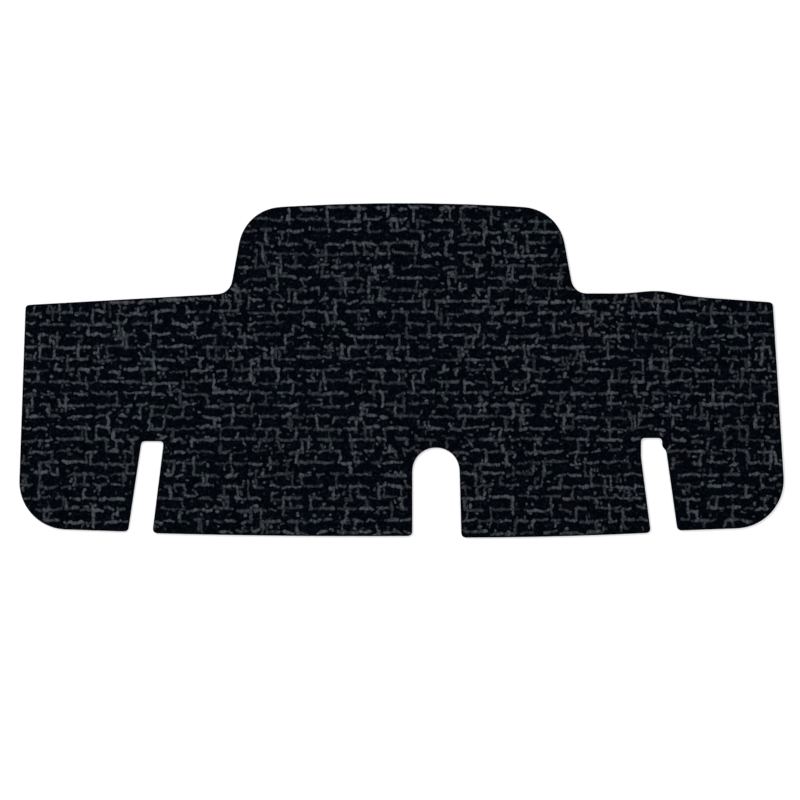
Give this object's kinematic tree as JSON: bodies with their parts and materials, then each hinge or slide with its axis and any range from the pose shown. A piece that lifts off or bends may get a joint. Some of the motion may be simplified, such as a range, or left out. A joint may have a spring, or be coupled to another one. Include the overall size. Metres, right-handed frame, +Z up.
{
  "type": "trunk mat",
  "caption": "Flat cut-to-fit trunk mat in dark loop carpet, with a rear tongue between two wings, slots in both wings and a round-headed notch in the front lip.",
  "frame": {"origin": "on the underside, in the middle of the mat's outer box", "axes": "+X to the right across the mat, seen from the front lip; +Y from the front lip to the rear tongue; +Z up, out of the pile"},
  "size_m": [1.3206, 0.5778, 0.0082],
  "materials": {
    "loop_carpet": "near-black loop pile",
    "accent_yarn": "raised grey accent yarn",
    "backing": "matt black latex backing"
  },
  "bodies": {
    "root": {"trunk_mat": "loop_carpet"}
  },
  "joints": []
}
